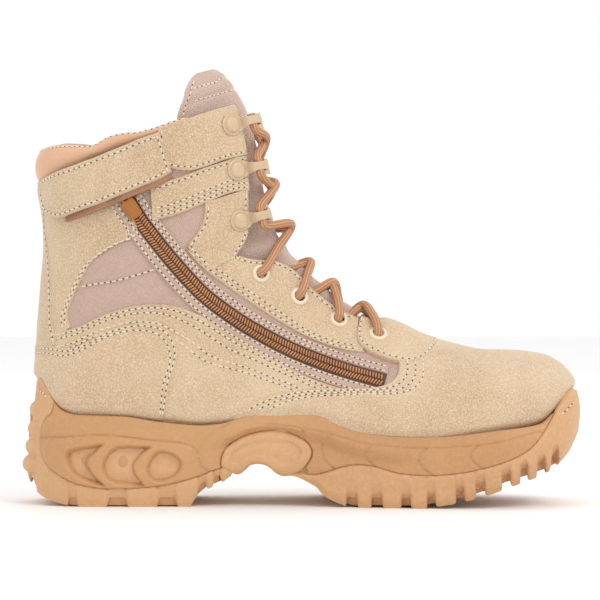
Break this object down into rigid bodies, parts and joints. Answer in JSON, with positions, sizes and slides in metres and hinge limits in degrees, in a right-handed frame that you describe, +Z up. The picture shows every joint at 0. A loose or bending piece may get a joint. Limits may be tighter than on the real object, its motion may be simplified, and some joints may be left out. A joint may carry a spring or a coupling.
{
  "type": "combat boot",
  "caption": "Ankle-high desert combat boot with a side zip, speed hooks, padded tongue and collar, and a lugged two-part outsole.",
  "frame": {"origin": "on the ground, under the middle of the boot's outer box", "axes": "+X towards the toe, +Y towards the outer (lateral) side, +Z up"},
  "size_m": [0.3105, 0.108, 0.2426],
  "materials": {
    "outsole": "matte moulded rubber",
    "midsole": "smooth moulded foam rubber",
    "lining": "brushed knit",
    "suede": "napped suede",
    "nylon": "woven nylon",
    "collar": "smooth padded leather",
    "zip": "moulded coil",
    "pull": "amber coated",
    "lace": "braided cord",
    "hook": "satin paint",
    "eyelet": "satin paint"
  },
  "bodies": {
    "boot": {"outsole_heel": "outsole", "outsole_forefoot": "outsole", "midsole": "midsole", "arch_bridge": "outsole", "insole": "lining", "upper": "suede", "tongue": "nylon", "collar_pad": "collar", "ankle_strap": "suede", "zip_chain": "zip", "zip_slider": "zip", "lace": "lace", "hook_medial_1": "hook", "hook_medial_2": "hook", "hook_medial_3": "hook", "hook_lateral_1": "hook", "hook_lateral_2": "hook", "hook_lateral_3": "hook", "eyelet_medial_1": "eyelet", "eyelet_medial_2": "eyelet", "eyelet_medial_3": "eyelet", "eyelet_medial_4": "eyelet", "eyelet_lateral_1": "eyelet", "eyelet_lateral_2": "eyelet", "eyelet_lateral_3": "eyelet", "eyelet_lateral_4": "eyelet"},
    "pull_tab": {"zip_pull": "pull"}
  },
  "joints": [
    {"name": "pull_swing", "type": "hinge", "parent": "boot", "child": "pull_tab", "pos_m": [-0.09703, -0.0389, 0.1713], "axis": [-0.8404, 0.0987, -0.5329], "range_deg": [0, 35]}
  ]
}
